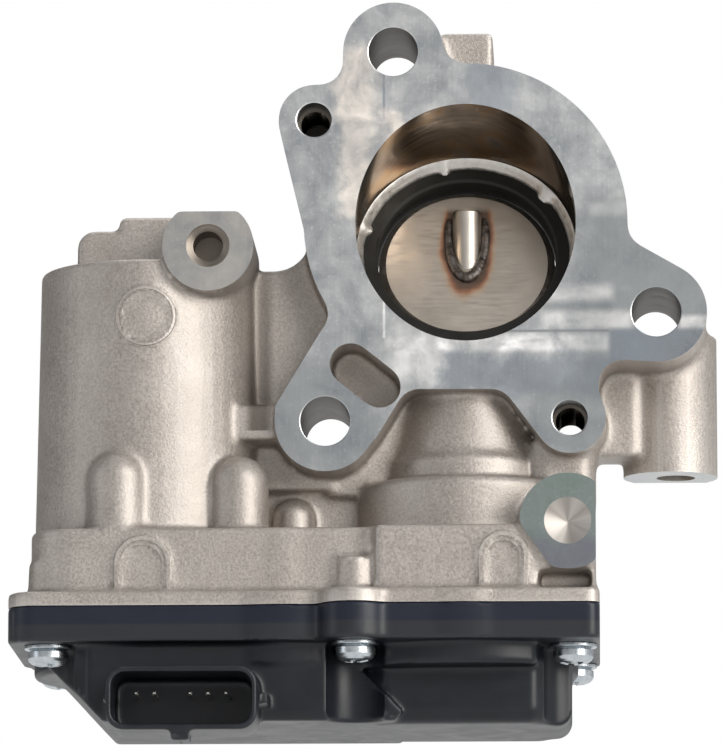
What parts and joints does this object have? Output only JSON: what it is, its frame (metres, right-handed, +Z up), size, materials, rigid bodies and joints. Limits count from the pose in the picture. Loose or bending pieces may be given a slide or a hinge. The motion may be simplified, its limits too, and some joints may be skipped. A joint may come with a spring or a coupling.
{
  "type": "egr valve",
  "caption": "Electric exhaust gas recirculation valve: cast body with a skewed butterfly in an inclined gas port, motor barrel, geared drive and a black plug-in cover.",
  "frame": {"origin": "centre of the gas port on the mounting flange's machined face", "axes": "+Y from the mounting face into the valve, +Z up the butterfly shaft from cover to port, +X to the right seen from the mounting face"},
  "size_m": [0.12, 0.0614, 0.1286],
  "materials": {
    "cast_aluminium": "as cast, fine grain, machined faces bright",
    "black_plastic": "glass-filled moulding, satin",
    "gear_plastic": "moulded, fine satin",
    "natural_plastic": "moulded, natural colour",
    "seat_steel": "dark heat-resistant steel, ground",
    "stainless_steel": "satin, heat tint at the weld",
    "weld_metal": "weld bead, dark with heat tint",
    "plated_steel": "bright zinc plated",
    "bearing_steel": "ground and polished",
    "spring_steel": "drawn wire, satin",
    "motor_steel": "zinc plated sheet",
    "core_steel": "stacked sheet",
    "sintered_bronze": "sintered",
    "copper": "enamelled wire and bars",
    "tin_contact": "tin plated",
    "ferrite": "pressed ferrite",
    "carbon": "pressed carbon",
    "seal_rubber": "moulded",
    "board_green": "printed circuit board",
    "chip_black": "moulded package"
  },
  "bodies": {
    "housing": {"valve_body": "cast_aluminium", "seat_ring": "seat_steel", "upper_shaft_bush": "sintered_bronze", "shaft_seal": "seal_rubber", "bearing_outer_ring": "bearing_steel", "bearing_balls": "bearing_steel", "motor_can": "motor_steel", "motor_magnets": "ferrite", "motor_end_plate": "motor_steel", "brush_holder": "natural_plastic", "motor_brushes": "carbon", "motor_bushes": "sintered_bronze", "motor_wave_spring": "spring_steel", "motor_screws": "plated_steel", "intermediate_gear_pin": "bearing_steel", "return_spring": "spring_steel", "spring_sleeve": "gear_plastic", "gear_cover": "black_plastic", "cover_gasket": "seal_rubber", "connector_pins": "tin_contact", "motor_contacts": "tin_contact", "sensor_board": "board_green", "sensor_chip": "chip_black", "cover_screws": "plated_steel"},
    "butterfly": {"valve_shaft": "stainless_steel", "valve_disc": "stainless_steel", "weld_bead": "weld_metal", "sector_gear": "gear_plastic", "gear_insert": "plated_steel", "sensor_magnet": "ferrite", "bearing_inner_ring": "bearing_steel"},
    "intermediate": {"intermediate_gear": "gear_plastic", "intermediate_gear_bush": "sintered_bronze"},
    "rotor": {"motor_shaft": "bearing_steel", "armature_core": "core_steel", "armature_windings": "copper", "commutator": "copper", "motor_pinion": "bearing_steel"}
  },
  "joints": [
    {"name": "motor_spin", "type": "hinge", "parent": "housing", "child": "rotor", "pos_m": [-0.0545, 0.014, -0.04], "axis": [0, 0, 1], "range_deg": [0, 751.58]},
    {"name": "intermediate_spin", "type": "hinge", "parent": "housing", "child": "intermediate", "pos_m": [-0.0305, 0.014, -0.066], "axis": [0, 0, 1], "range_deg": [-188.2, 0.3]},
    {"name": "butterfly_swing", "type": "hinge", "parent": "housing", "child": "butterfly", "pos_m": [0, 0.014, -0.03], "axis": [0, 0, 1], "range_deg": [-0.1, 85.1], "deforming": ["return_spring"]}
  ],
  "couplings": [
    {"joint": "intermediate_spin", "follows": "motor_spin", "ratio": -0.25},
    {"joint": "butterfly_swing", "follows": "motor_spin", "ratio": 0.1131}
  ]
}
